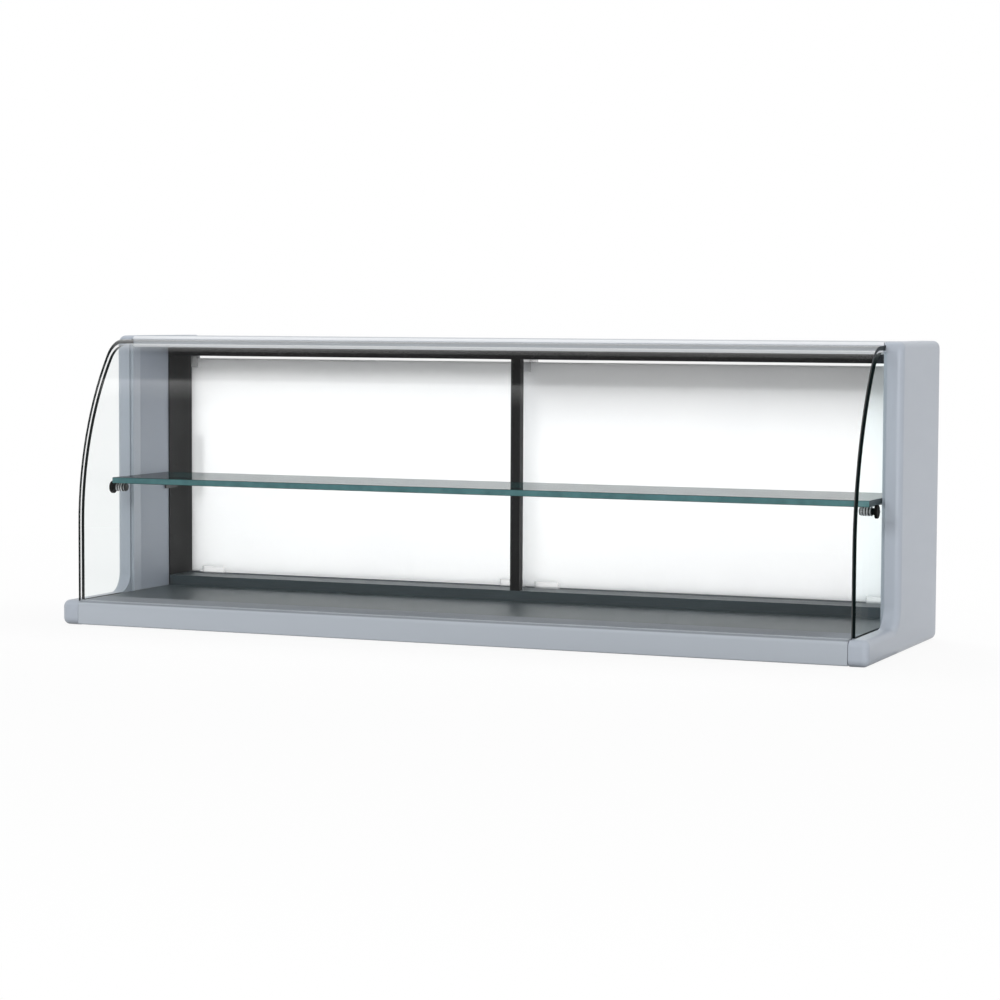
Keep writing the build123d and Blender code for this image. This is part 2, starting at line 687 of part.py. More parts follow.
# Sliding doors with their guides, glides and pulls
for side, sign, face_y in (("left", -1, left_door_y), ("right", 1, right_door_y)):
    outer_edge = sign * door_outer_x
    inner_edge = -sign * door_overlap / 2
    door_y_range = (face_y, face_y + door_thickness)
    centre_y = face_y + door_thickness / 2
    guide_y = (centre_y - guide_thickness / 2, centre_y + guide_thickness / 2)
    glide_xs = [
        (outer_edge - sign * glide_inset, outer_edge - sign * (glide_inset + glide_length)),
        (inner_edge + sign * glide_inset, inner_edge + sign * (glide_inset + glide_length)),
    ]
    guide_xs = [
        (outer_edge, outer_edge - sign * guide_width),
        (inner_edge, inner_edge + sign * guide_width),
    ]

    with BuildPart() as door:
        block((outer_edge, inner_edge), door_y_range, (door_base_z, door_top_z))
        for glide_x in glide_xs:
            block(glide_x, door_y_range, (door_base_z, door_base_z + glide_notch), Mode.SUBTRACT)
    door.part.label = f"door_{side}"
    export_step(door.part, f"parts/door_{side}.step")

    with BuildPart() as glides:
        for glide_x in glide_xs:
            block(glide_x, guide_y, (lower_groove_z + glide_lift, door_base_z + glide_notch))
    glides.part.label = f"door_{side}_glides"
    export_step(glides.part, f"parts/door_{side}_glides.step")

    with BuildPart() as guides:
        for guide_x in guide_xs:
            cheek_y = (face_y - guide_cheek, face_y + door_thickness + guide_cheek)
            block(guide_x, cheek_y, (door_top_z - guide_drop, door_top_z + guide_cheek))
            block(guide_x, door_y_range, (door_top_z - guide_drop, door_top_z), Mode.SUBTRACT)
            block(guide_x, guide_y, (door_top_z + guide_cheek, rail_z + guide_entry))
    guides.part.label = f"door_{side}_guides"
    export_step(guides.part, f"parts/door_{side}_guides.step")

    with BuildPart() as pull:
        rear_face = face_y + door_thickness
        near_x = outer_edge - sign * pull_inset
        far_x = near_x - sign * pull_width
        pull_z = (door_mid_z - pull_height / 2, door_mid_z + pull_height / 2)
        block((near_x, far_x), (rear_face, rear_face + pull_plate), pull_z)
        block((far_x, far_x + sign * pull_plate), (rear_face, rear_face + pull_depth), pull_z)
    pull.part.label = f"door_{side}_pull"
    export_step(pull.part, f"parts/door_{side}_pull.step")

# Screws, each group in one node
with BuildPart() as base_screws:
    for y in base_screw_ys:
        for sign in (-1, 1):
            pan_screw((sign * (span_x - sheet), y, base_screw_z), (sign, 0, 0))
base_screws.part.label = "base_screws"
export_step(base_screws.part, "parts/base_screws.step")

with BuildPart() as ledge_screws:
    for x in ledge_screw_xs:
        pan_screw((x, ledge_rear_y + sheet, base_screw_z), (0, -1, 0))
ledge_screws.part.label = "ledge_screws"
export_step(ledge_screws.part, "parts/ledge_screws.step")

with BuildPart() as top_screws:
    for x in top_screw_xs:
        pan_screw((x, top_rear_y, top_screw_z), (0, -1, 0))
top_screws.part.label = "top_screws"
export_step(top_screws.part, "parts/top_screws.step")

with BuildPart() as jamb_screws:
    for z in jamb_screw_zs:
        for sign in (-1, 1):
            seat = (sign * jamb_x, jamb_screw_y, z)
            rod(seat, (sign, 0, 0), screw_length, screw_radius)
            flat_head(seat, (sign, 0, 0), flat_head_radius)
jamb_screws.part.label = "jamb_screws"
export_step(jamb_screws.part, "parts/jamb_screws.step")

with BuildPart() as bracket_screws:
    for sign in (-1, 1):
        seat = (sign * (jamb_x - sheet), bracket_screw_y, bracket_screw_z)
        pan_screw(seat, (sign, 0, 0))
bracket_screws.part.label = "bracket_screws"
export_step(bracket_screws.part, "parts/bracket_screws.step")

print(f"column front {column_y - front_y:.2f}, bend height {bend_z:.2f}")
print(f"frame front {frame_y - front_y:.2f}, door travel {door_travel:.2f}")
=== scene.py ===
"""Looks of the curved-glass display case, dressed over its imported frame."""

import bpy
import bmesh
from math import cos, pi, radians, sin
from mathutils import Matrix, Vector


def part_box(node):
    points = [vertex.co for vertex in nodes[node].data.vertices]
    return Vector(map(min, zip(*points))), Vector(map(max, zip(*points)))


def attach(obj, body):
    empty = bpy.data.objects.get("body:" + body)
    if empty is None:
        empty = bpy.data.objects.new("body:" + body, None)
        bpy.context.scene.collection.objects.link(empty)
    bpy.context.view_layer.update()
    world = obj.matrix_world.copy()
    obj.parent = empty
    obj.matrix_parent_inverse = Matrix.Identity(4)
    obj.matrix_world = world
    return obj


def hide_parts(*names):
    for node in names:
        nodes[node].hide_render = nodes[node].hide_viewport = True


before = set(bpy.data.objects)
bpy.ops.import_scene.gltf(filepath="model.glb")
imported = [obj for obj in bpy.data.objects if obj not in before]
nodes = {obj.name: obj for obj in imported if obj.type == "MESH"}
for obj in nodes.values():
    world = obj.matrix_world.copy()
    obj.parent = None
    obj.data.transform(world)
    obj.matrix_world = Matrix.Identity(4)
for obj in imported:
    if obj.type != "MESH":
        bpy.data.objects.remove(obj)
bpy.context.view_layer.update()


def add_object(name, data):
    """A new object in the scene."""
    item = bpy.data.objects.new(name, data)
    bpy.context.collection.objects.link(item)
    return item


# Camera, at the photograph's place and angle
CAMERA_AZIMUTH, CAMERA_ELEVATION, CAMERA_ROLL = radians(22.682), radians(3.851), radians(0.267)
CAMERA_PLACE = (1.6210, -3.8505, 0.4814)
SENSOR_WIDTH = 36
FOCAL_LENGTH = 99.36
FAR_CLIP = 50


def photo_camera():
    """A long lens, right of the case and a little above it."""
    azimuth, elevation, roll = CAMERA_AZIMUTH, CAMERA_ELEVATION, CAMERA_ROLL
    back = Vector((sin(azimuth) * cos(elevation), -cos(azimuth) * cos(elevation), sin(elevation)))
    right = Vector((cos(azimuth), sin(azimuth), 0))
    up = back.cross(right)
    camera_x = cos(roll) * right + sin(roll) * up
    camera_y = -sin(roll) * right + cos(roll) * up
    data = bpy.data.cameras.new("photo_camera")
    data.sensor_width = SENSOR_WIDTH
    data.lens = FOCAL_LENGTH
    data.clip_end = FAR_CLIP
    camera = add_object("photo_camera", data)
    camera.matrix_world = Matrix((*zip(camera_x, camera_y, back, CAMERA_PLACE), (0, 0, 0, 1)))
    bpy.context.scene.camera = camera


# Nodes that the materials are made of
USUAL_NOISE = (0.3, 0.7)  # where most of a noise's values lie
WHOLE_NOISE = (0.15, 0.85)  # wide enough that no value is cut off, which would show as outlines


def feed(tree, socket, value):
    """Sets a socket to a number or colour, or links another socket to it."""
    if isinstance(value, (int, float, tuple)):
        socket.default_value = value
    else:
        tree.links.new(value, socket)


def feed_all(tree, node, values):
    """Feeds a node's inputs by name."""
    for label, value in values.items():
        feed(tree, node.inputs[label], value)


def object_place(tree):
    """Object coordinates."""
    return tree.nodes.new("ShaderNodeTexCoord").outputs["Object"]


def axis_values(tree, vector):
    """A vector's X, Y and Z."""
    split = tree.nodes.new("ShaderNodeSeparateXYZ")
    tree.links.new(vector, split.inputs["Vector"])
    return split.outputs["X"], split.outputs["Y"], split.outputs["Z"]


def stretched(tree, vector, scale):
    """A vector scaled axis by axis, so that a texture is drawn out along the axes with the small scales."""
    mapping = tree.nodes.new("ShaderNodeMapping")
    feed_all(tree, mapping, {"Vector": vector, "Scale": scale})
    return mapping.outputs["Vector"]


def add_noise(tree, vector, scale, detail=3.0, roughness=0.5):
    """A noise texture read at the given vector."""
    noise = tree.nodes.new("ShaderNodeTexNoise")
    feed_all(tree, noise, {"Vector": vector, "Scale": scale, "Detail": detail, "Roughness": roughness})
    return noise.outputs["Fac"]


def add_range(tree, value, low, high, to_low, to_high):
    """A value moved from one range to another; the limits are numbers or sockets."""
    node = tree.nodes.new("ShaderNodeMapRange")
    limits = {"From Min": low, "From Max": high, "To Min": to_low, "To Max": to_high}
    feed_all(tree, node, {"Value": value, **limits})
    return node.outputs["Result"]


def add_math(tree, operation, *values):
    """A math node on numbers or sockets."""
    node = tree.nodes.new("ShaderNodeMath")
    node.operation = operation
    for socket, value in zip(node.inputs, values):
        feed(tree, socket, value)
    return node.outputs[0]


def add_vector_math(tree, operation, values):
    """A vector math node, fed by socket name or number."""
    node = tree.nodes.new("ShaderNodeVectorMath")
    node.operation = operation
    feed_all(tree, node, values)
    return node.outputs


def add_mix(tree, factor, first, second):
    """A colour mixed from two colours or sockets."""
    node = tree.nodes.new("ShaderNodeMix")
    node.data_type = "RGBA"
    for label, value in (("Factor", factor), ("A", first), ("B", second)):
        feed(tree, [socket for socket in node.inputs if socket.name == label and socket.enabled][0], value)
    return [socket for socket in node.outputs if socket.enabled][0]


def blend_levels(tree, share, first, second):
    """A level that goes from the first to the second by a share."""
    return add_math(tree, "MULTIPLY_ADD", share, add_math(tree, "SUBTRACT", second, first), first)


def mix_shaders(tree, factor, first, second):
    """Two shaders mixed by a number or a socket."""
    mix = tree.nodes.new("ShaderNodeMixShader")
    feed(tree, mix.inputs["Fac"], factor)
    tree.links.new(first, mix.inputs[1])
    tree.links.new(second, mix.inputs[2])
    return mix.outputs["Shader"]


def new_material(name):
    """A material with its Principled shader, ready to be wired."""
    material = bpy.data.materials.new(name)
    material.use_nodes = True
    return material, material.node_tree, material.node_tree.nodes["Principled BSDF"]


def show(tree, shader):
    """Puts a shader on the surface."""
    tree.links.new(shader, tree.nodes["Material Output"].inputs["Surface"])


# Shader node groups that several finishes share
def new_group(name, inputs, outputs):
    """An empty shader group with named sockets."""
    group = bpy.data.node_groups.new(name, "ShaderNodeTree")
    for label, kind, value in inputs:
        socket = group.interface.new_socket(label, in_out="INPUT", socket_type=kind)
        socket.default_value = value
    for label, kind in outputs:
        group.interface.new_socket(label, in_out="OUTPUT", socket_type=kind)
    return group, group.nodes.new("NodeGroupInput"), group.nodes.new("NodeGroupOutput")


FINISH_OUTPUTS = [
    ("Colour", "NodeSocketColor"),
    ("Roughness", "NodeSocketFloat"),
    ("Height", "NodeSocketFloat"),
]


def shaded(group, inlet, share):
    """The group's colour, made darker where the share is less than 1."""
    return add_vector_math(group, "SCALE", {0: inlet.outputs["Colour"], "Scale": share})[0]


def satin_coat_group():
    """Sprayed or moulded satin finish: soft mottle, fine orange peel, faint handling marks."""
    group, inlet, outlet = new_group(
        "satin_coat",
        [
            ("Colour", "NodeSocketColor", (0.4, 0.45, 0.5, 1)),
            ("Mottle", "NodeSocketFloat", 0.06),
            ("Low Gloss", "NodeSocketFloat", 0.32),
            ("High Gloss", "NodeSocketFloat", 0.45),
            ("Peel Scale", "NodeSocketFloat", 900.0),
        ],
        FINISH_OUTPUTS,
    )
    place = object_place(group)
    cloud = add_noise(group, place, 7.0, 4.0)
    marks = add_noise(group, stretched(group, place, (9.0, 9.0, 40.0)), 1.0, 6.0, 0.65)
    peel = add_noise(group, place, inlet.outputs["Peel Scale"], 2.0)
    low = add_math(group, "SUBTRACT", 1.0, inlet.outputs["Mottle"])
    shade = add_range(group, cloud, *WHOLE_NOISE, low, 1.0)
    gloss = add_range(group, marks, *WHOLE_NOISE, inlet.outputs["Low Gloss"], inlet.outputs["High Gloss"])
    feed_all(group, outlet, {"Colour": shaded(group, inlet, shade), "Roughness": gloss, "Height": peel})
    return group


def brushed_grain_group():
    """Fine straight brush lines along X, broken into short strokes."""
    group, inlet, outlet = new_group(
        "brushed_grain",
        [
            ("Colour", "NodeSocketColor", (0.3, 0.3, 0.3, 1)),
            ("Streak", "NodeSocketFloat", 0.25),
            ("Low Gloss", "NodeSocketFloat", 0.25),
            ("High Gloss", "NodeSocketFloat", 0.45),
        ],
        FINISH_OUTPUTS,
    )
    place = object_place(group)
    strokes = add_noise(group, stretched(group, place, (14.0, 1500.0, 1500.0)), 1.0, 3.0, 0.6)
    cloud = add_noise(group, place, 5.0)
    blend = add_math(group, "MULTIPLY_ADD", strokes, 0.7, add_math(group, "MULTIPLY", cloud, 0.3))
    low = add_math(group, "SUBTRACT", 1.0, inlet.outputs["Streak"])
    shade = add_range(group, blend, 0.35, 0.65, low, 1.0)
    gloss = add_range(group, strokes, *USUAL_NOISE, inlet.outputs["Low Gloss"], inlet.outputs["High Gloss"])
    feed_all(group, outlet, {"Colour": shaded(group, inlet, shade), "Roughness": gloss, "Height": strokes})
    return group


SATIN = satin_coat_group()
BRUSHED = brushed_grain_group()
COAT_ROUGHNESS = 0.15


# Kinds of material
def add_bump(tree, shader, height, strength, distance):
    """A bump on the shader's normal."""
    bump = tree.nodes.new("ShaderNodeBump")
    feed_all(tree, bump, {"Height": height, "Strength": strength, "Distance": distance})
    tree.links.new(bump.outputs["Normal"], shader.inputs["Normal"])


def coated(name, group, colour, values, metallic=0.0, coat=0.0, bump=(0.05, 0.0002), specular=0.5):
    """A finish made from one of the shared groups; the bump is its strength and distance."""
    material, tree, shader = new_material(name)
    finish = tree.nodes.new("ShaderNodeGroup")
    finish.node_tree = group
    feed_all(tree, finish, {"Colour": (*colour, 1), **values})
    add_bump(tree, shader, finish.outputs["Height"], *bump)
    surface = {
        "Base Color": finish.outputs["Colour"],
        "Roughness": finish.outputs["Roughness"],
        "Metallic": metallic,
        "Coat Weight": coat,
        "Coat Roughness": COAT_ROUGHNESS,
        "Specular IOR Level": specular,
    }
    feed_all(tree, shader, surface)
    material.diffuse_color = (*colour, 1)
    return material


X_WAY, Y_WAY, Z_WAY = (1, 0, 0), (0, 1, 0), (0, 0, 1)


def face_mask(tree, direction, low, high):
    """A mask of the faces that look along one direction, either way; low above high masks all the others."""
    normal = tree.nodes.new("ShaderNodeTexCoord").outputs["Normal"]
    along = add_vector_math(tree, "DOT_PRODUCT", {0: normal, 1: direction})["Value"]
    return add_range(tree, add_math(tree, "ABSOLUTE", along), low, high, 0.0, 1.0)


# Painted shade: the faces that look up are painted darker, as less light falls on them
TOP_FACING = (0.55, 0.75)  # the top face and the upper part of a rounded edge
TOP_ROUGHNESS = 0.85


def paint_top_shade(material, share):
    """Paints shade on the faces that look up, darker by a share, and makes them less glossy."""
    tree = material.node_tree
    inputs = tree.nodes["Principled BSDF"].inputs
    mask = face_mask(tree, Z_WAY, *TOP_FACING)
    colour = inputs["Base Color"].links[0].from_socket
    dark = add_mix(tree, add_math(tree, "MULTIPLY", mask, share), colour, (0.0, 0.0, 0.0, 1))
    tree.links.new(dark, inputs["Base Color"])
    gloss = inputs["Roughness"].links[0].from_socket
    tree.links.new(add_range(tree, mask, 0.0, 1.0, gloss, TOP_ROUGHNESS), inputs["Roughness"])


GLASS_IOR = 1.5
SMEARED = (0.35, 0.75)  # of the smear noise, from clean to smeared
SMEAR_ROUGHNESS = 0.02
CLEANER = 0.006  # how much more light the cleaner patches of a pane let through
SLANT = (0.6, 0.93)  # of Layer Weight's facing value, where the deeper tint starts and is full


def cut_edges(tree, place, smear, cuts, cut_end):
    """The ground faces of a pane: where they are, and their shader, whose colours paint the light and shade
    seen through the glass edgewise over its own green.
    """
    masks = [face_mask(tree, direction, low, high) for direction, low, high, _ in cuts]
    total, colour = masks[0], (*cuts[0][3], 1)
    for mask, cut in zip(masks[1:], cuts[1:]):
        total = add_math(tree, "MAXIMUM", total, mask)
        colour = add_mix(tree, mask, colour, (*cut[3], 1))
    if cut_end is not None:
        bare = add_math(tree, "GREATER_THAN", axis_values(tree, place)[1], cut_end)
        total = add_math(tree, "MULTIPLY", total, add_math(tree, "SUBTRACT", 1.0, bare))
    streak = add_range(tree, add_noise(tree, place, 60.0), *USUAL_NOISE, 0.0, 0.25)
    ground = tree.nodes.new("ShaderNodeBsdfPrincipled")
    surface = {
        "Base Color": add_mix(tree, streak, colour, (0.0, 0.0, 0.0, 1)),
        "Roughness": add_range(tree, smear, *USUAL_NOISE, 0.25, 0.4),
        "Specular IOR Level": 0.15,
    }
    feed_all(tree, ground, surface)
    return total, ground.outputs["BSDF"]


def clear_sheet(name, tint, slant_tint, gloss_share, cuts, cut_end=None):
    """Clear glass: a straight view through it, gloss by angle, a deeper tint at a slant and cut edges.

    A cut is the direction of its faces, the two limits of their mask, and a colour. Behind cut_end, a
    place along Y, no cut shows.
    """
    material, tree, mirror = new_material(name)
    place = object_place(tree)
    smear = add_noise(tree, place, 6.0, 5.0, 0.6)
    tone = add_range(tree, add_noise(tree, place, 2.5), *USUAL_NOISE, 0.0, 1.0)
    surface = {
        "Base Color": add_mix(tree, tone, (0.97, 0.98, 0.98, 1), (1, 1, 1, 1)),
        "Roughness": add_range(tree, smear, *SMEARED, 0.0, SMEAR_ROUGHNESS),
        "Metallic": 1.0,
    }
    feed_all(tree, mirror, surface)

    path = tree.nodes.new("ShaderNodeLightPath")
    soft = add_math(tree, "MAXIMUM", path.outputs["Is Shadow Ray"], path.outputs["Is Diffuse Ray"])
    direct = add_math(tree, "SUBTRACT", 1.0, soft)
    slant = tree.nodes.new("ShaderNodeLayerWeight")
    slant.inputs["Blend"].default_value = 0.5
    deep = add_range(tree, slant.outputs["Facing"], *SLANT, 0.0, 1.0)
    clean_tint = tuple(min(1.0, value + CLEANER) for value in tint)
    through = add_mix(tree, tone, (*tint, 1), (*clean_tint, 1))
    through = add_mix(tree, add_math(tree, "MULTIPLY", deep, direct), through, (*slant_tint, 1))
    clear = tree.nodes.new("ShaderNodeBsdfTransparent")
    tree.links.new(through, clear.inputs["Color"])

    inner = tree.nodes.new("ShaderNodeNewGeometry").outputs["Backfacing"]
    fresnel = tree.nodes.new("ShaderNodeFresnel")
    tree.links.new(add_range(tree, inner, 0.0, 1.0, GLASS_IOR, 1 / GLASS_IOR), fresnel.inputs["IOR"])
    share = add_math(tree, "MULTIPLY", fresnel.outputs["Fac"], gloss_share)
    gloss = add_math(tree, "MULTIPLY", share, direct)
    sheet = mix_shaders(tree, gloss, clear.outputs["BSDF"], mirror.outputs["BSDF"])
    total, ground = cut_edges(tree, place, smear, cuts, cut_end)
    show(tree, mix_shaders(tree, total, sheet, ground))
    material.diffuse_color = (*tint, 0.2)
    return material


def opal_sheet(name, through, clear_share=0.0):
    """Translucent white plastic, lit through from behind and softly glossy; some of it may be clear."""
    material, tree, shader = new_material(name)
    place = object_place(tree)
    tone = add_range(tree, add_noise(tree, place, 4.0), *USUAL_NOISE, 0.0, 1.0)
    white = add_mix(tree, tone, (0.935, 0.94, 0.945, 1), (0.955, 0.96, 0.96, 1))
    smear = add_noise(tree, place, 9.0, 5.0, 0.6)
    gloss = add_range(tree, smear, *USUAL_NOISE, 0.22, 0.32)
    feed_all(tree, shader, {"Base Color": white, "Roughness": gloss})
    glow = tree.nodes.new("ShaderNodeBsdfTranslucent")
    tree.links.new(white, glow.inputs["Color"])
    shown = mix_shaders(tree, through, shader.outputs["BSDF"], glow.outputs["BSDF"])
    if clear_share:
        clear = tree.nodes.new("ShaderNodeBsdfTransparent")
        share = add_range(tree, tone, 0.0, 1.0, clear_share - 0.05, clear_share)
        shown = mix_shaders(tree, share, shown, clear.outputs["BSDF"])
    show(tree, shown)
    material.diffuse_color = (0.92, 0.93, 0.94, 1)
    return material


RING_PITCH = 0.0041
RING_EDGE = (0.0007, 0.0013)  # from a groove's middle to where it ends and where the ring starts


def ringed_steel(name, inner_end):
    """Turned pin with its grooves painted dark as shade between bright polished rings, counted from its inner
    end.
    """
    material, tree, shader = new_material(name)
    place = object_place(tree)
    outward = add_math(tree, "ABSOLUTE", axis_values(tree, place)[0])
    turns = add_math(tree, "PINGPONG", add_math(tree, "SUBTRACT", outward, inner_end), RING_PITCH / 2)
    ring = add_range(tree, turns, *RING_EDGE, 0.0, 1.0)
    lines = add_noise(tree, place, 2500.0, 2.0)
    bright = add_mix(tree, lines, (0.55, 0.57, 0.58, 1), (0.75, 0.76, 0.77, 1))
    # painted shade: the grooves are near-black, the rings bright steel
    surface = {
        "Base Color": add_mix(tree, ring, (0.03, 0.03, 0.032, 1), bright),
        "Roughness": add_range(tree, lines, *USUAL_NOISE, 0.2, 0.4),
        "Metallic": 0.6,
    }
    feed_all(tree, shader, surface)
    add_bump(tree, shader, lines, 0.05, 0.00005)
    material.diffuse_color = (0.4, 0.4, 0.4, 1)
    return material


# Finishes
FINE_BUMP = (0.02, 0.0001)
SEAL_GLOSS = {"Low Gloss": 0.5, "High Gloss": 0.7}

cap_silver = coated(
    "cap_silver",
    SATIN,
    (0.385, 0.422, 0.478),
    {"Mottle": 0.03, "Low Gloss": 0.28, "High Gloss": 0.36},
    coat=0.12,
    bump=(0.02, 0.0002),
)
ledge_silver = coated(
    "ledge_silver",
    SATIN,
    (0.46, 0.50, 0.55),
    {"Mottle": 0.02, "Low Gloss": 0.27, "High Gloss": 0.31},
    metallic=0.2,
    bump=FINE_BUMP,
)
# painted shade on the ledge's top face and the upper part of its rounded front edge
paint_top_shade(ledge_silver, 0.45)
nose_silver = coated("nose_silver", SATIN, (0.72, 0.74, 0.77), {"Mottle": 0.03}, metallic=0.1, bump=FINE_BUMP)
top_silver = coated("top_silver", SATIN, (0.47, 0.495, 0.53), {"Mottle": 0.03}, metallic=0.1, specular=0.35)
inner_grey = coated("inner_grey", SATIN, (0.30, 0.335, 0.39), {"Mottle": 0.03})
frame_dark = coated("frame_dark", SATIN, (0.012, 0.012, 0.0125), {"Mottle": 0.1}, specular=0.08)
track_dark = coated("track_dark", SATIN, (0.022, 0.022, 0.023), {"Mottle": 0.1}, specular=0.2)
deck_steel = coated(
    "deck_steel",
    BRUSHED,
    (0.070, 0.092, 0.102),
    {"Streak": 0.3, "Low Gloss": 0.35, "High Gloss": 0.5},
    metallic=0.3,
    bump=(0.15, 0.0001),
    specular=0.3,
)
mill_steel = coated("mill_steel", BRUSHED, (0.40, 0.41, 0.42), {"Streak": 0.3}, metallic=0.9)
underside_white = coated("underside_white", SATIN, (0.66, 0.67, 0.68), {"Mottle": 0.05})
zinc_plate = coated("zinc_plate", BRUSHED, (0.50, 0.50, 0.47), {"Streak": 0.15}, metallic=1.0)
black_screw = coated("black_screw", SATIN, (0.012, 0.012, 0.012), {"Mottle": 0.2}, specular=0.15)
grey_seal = coated("grey_seal", SATIN, (0.42, 0.45, 0.49), SEAL_GLOSS)
black_seal = coated("black_seal", SATIN, (0.010, 0.010, 0.010), SEAL_GLOSS)
black_cap = coated(
    "black_cap", SATIN, (0.006, 0.006, 0.006), {"Low Gloss": 0.5, "High Gloss": 0.6}, specular=0.04
)
pin_steel = ringed_steel("pin_steel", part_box("shelf_pin_tip_right")[1][0])
dark_fitting = coated("dark_fitting", SATIN, (0.02, 0.02, 0.021), {"Mottle": 0.15})

FRONT_TINT = (0.994, 0.997, 0.997)
# painted shade: the cut ends and edges of the panes are near-black green
SHADED_CUT = (0.002, 0.006, 0.006)
front_pane = clear_sheet("front_pane", FRONT_TINT, FRONT_TINT, 1.0, [(X_WAY, 0.6, 0.8, SHADED_CUT)])
side_pane = clear_sheet(
    "side_pane",
    (0.985, 0.998, 0.998),
    (0.95, 1.0, 1.0),
    0.12,
    [(X_WAY, 0.8, 0.6, SHADED_CUT)],
    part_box("side_glass_right")[1][1] - 0.02,
)
# painted light and shade on the shelf's cut faces: the front and rear faces lit teal, the chamfers and ends
# dark
shelf_pane = clear_sheet(
    "shelf_pane",
    (0.975, 0.99, 0.985),
    (0.30, 0.33, 0.33),
    0.6,
    [
        (Y_WAY, 0.4, 0.6, (0.016, 0.055, 0.052)),
        (Y_WAY, 0.8, 0.9, (0.075, 0.185, 0.195)),
        (X_WAY, 0.6, 0.8, (0.003, 0.012, 0.012)),
    ],
)
opal = opal_sheet("opal", 0.92)
milky_plastic = opal_sheet("milky_plastic", 0.75, clear_share=0.7)

SIDES = ("left", "right")
FINISHES = {
    "front_ledge": ledge_silver,
    "top_nose": nose_silver,
    "top_panel": top_silver,
    "front_glass_gasket": grey_seal,
    "top_glass_gasket": grey_seal,
    "post_strip": black_seal,
    "front_glass": front_pane,
    "shelf_glass": shelf_pane,
    "deck_panel": deck_steel,
    "base_pan": mill_steel,
    "top_stiffener": mill_steel,
    "top_underside": underside_white,
    "base_screws": zinc_plate,
    "ledge_screws": zinc_plate,
    "top_screws": zinc_plate,
    "jamb_screws": black_screw,
    "bracket_screws": black_screw,
    "head_rail": frame_dark,
    "rear_sill": deck_steel,
    "centre_post": frame_dark,
    "upper_track": track_dark,
    "lower_track": deck_steel,
    "shelf_stud": dark_fitting,
}
for number in range(1, 5):
    FINISHES[f"cross_member_{number}"] = mill_steel
for side in SIDES:
    FINISHES[f"end_cap_{side}"] = cap_silver
    FINISHES[f"end_panel_{side}"] = inner_grey
    FINISHES[f"side_glass_{side}"] = side_pane
    FINISHES[f"side_glass_gasket_{side}"] = black_seal
    FINISHES[f"jamb_{side}"] = frame_dark
    FINISHES[f"shelf_pin_{side}"] = pin_steel
    FINISHES[f"shelf_pin_tip_{side}"] = black_seal
    FINISHES[f"shelf_pin_cap_{side}"] = black_cap
    FINISHES[f"shelf_bracket_{side}"] = dark_fitting
    FINISHES[f"door_{side}"] = opal
    for piece in ("guides", "glides", "pull"):
        FINISHES[f"door_{side}_{piece}"] = milky_plastic
for node_name, node in nodes.items():
    node.data.materials.clear()
    node.data.materials.append(FINISHES[node_name])


# Screws: one geometry node tree lays out every row
SHANK_RADIUS = 0.002
SCREW_LENGTH = 0.012
DRIVE_WIDTH = 0.0009
PAN_HEAD = (0.0034, 0.0040, 0.0025)  # radius of the face, radius at the seat, depth
FLAT_HEAD = (0.0036, 0.0020, 0.0016)
HEAD_SIDES, SHANK_SIDES = 32, 24
SHANK_OVERLAP = 0.25  # of the head's depth, where the shank goes up into it
DRIVE_REACH = 1.3  # length of the cross's arms, of the face's radius
TURN_SEED = 7


def screw_shape(tree, inlet):
    """One screw: a tapered head over its seat, a shank below it, and a cross cut into the face."""
    link = tree.links.new
    depth = inlet.outputs["Head Depth"]
    head = tree.nodes.new("GeometryNodeMeshCone")
    head_sizes = {"Radius Top": inlet.outputs["Face Radius"], "Radius Bottom": inlet.outputs["Seat Radius"]}
    feed_all(tree, head, {"Vertices": HEAD_SIDES, **head_sizes, "Depth": depth})
    shank = tree.nodes.new("GeometryNodeMeshCylinder")
    shank_sizes = {"Radius": inlet.outputs["Shank Radius"], "Depth": inlet.outputs["Shank Length"]}
    feed_all(tree, shank, {"Vertices": SHANK_SIDES, **shank_sizes})
    overlap = add_math(tree, "MULTIPLY", depth, SHANK_OVERLAP)
    half = add_math(tree, "MULTIPLY", inlet.outputs["Shank Length"], -0.5)
    drop = tree.nodes.new("ShaderNodeCombineXYZ")
    link(add_math(tree, "ADD", half, overlap), drop.inputs["Z"])
    lowered = tree.nodes.new("GeometryNodeTransform")
    link(shank.outputs["Mesh"], lowered.inputs["Geometry"])
    link(drop.outputs["Vector"], lowered.inputs["Translation"])
    union = tree.nodes.new("GeometryNodeMeshBoolean")
    union.operation = "UNION"
    link(head.outputs["Mesh"], union.inputs["Mesh 2"])
    link(lowered.outputs["Geometry"], union.inputs["Mesh 2"])

    wide = add_math(tree, "MULTIPLY", inlet.outputs["Face Radius"], DRIVE_REACH)
    thin = inlet.outputs["Drive Width"]
    lift = tree.nodes.new("ShaderNodeCombineXYZ")
    link(depth, lift.inputs["Z"])
    cut = tree.nodes.new("GeometryNodeMeshBoolean")
    cut.operation = "DIFFERENCE"
    link(union.outputs["Mesh"], cut.inputs["Mesh 1"])
    for size_x, size_y in ((wide, thin), (thin, wide)):
        size = tree.nodes.new("ShaderNodeCombineXYZ")
        feed_all(tree, size, {"X": size_x, "Y": size_y, "Z": depth})
        bar = tree.nodes.new("GeometryNodeMeshCube")
        link(size.outputs["Vector"], bar.inputs["Size"])
        raised = tree.nodes.new("GeometryNodeTransform")
        link(bar.outputs["Mesh"], raised.inputs["Geometry"])
        link(lift.outputs["Vector"], raised.inputs["Translation"])
        link(raised.outputs["Geometry"], cut.inputs["Mesh 2"])
    return cut.outputs["Mesh"]


